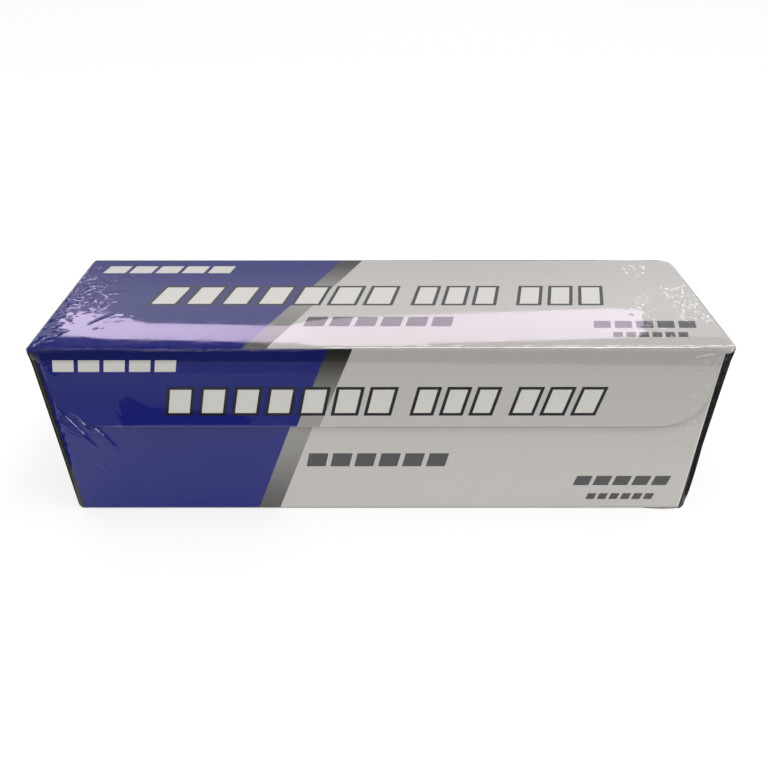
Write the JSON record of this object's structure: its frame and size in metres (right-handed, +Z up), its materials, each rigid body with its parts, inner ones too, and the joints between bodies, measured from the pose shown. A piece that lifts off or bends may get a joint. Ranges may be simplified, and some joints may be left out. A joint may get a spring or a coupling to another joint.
{
  "type": "sealed foil roll carton",
  "caption": "Long sealed carton of kitchen foil in clear film, with a tuck lid whose flap hangs over the front panel and glued flaps on its ends.",
  "frame": {"origin": "centre of the bottom panel, midway between the front and back panels", "axes": "+X along the carton, -Y out of the front panel that carries the lid flap, +Z up out of the lid"},
  "size_m": [0.3196, 0.0935, 0.1],
  "materials": {
    "printed_board": "satin",
    "clear_film": "gloss"
  },
  "bodies": {
    "root": {"foil_carton": "printed_board"}
  },
  "joints": []
}
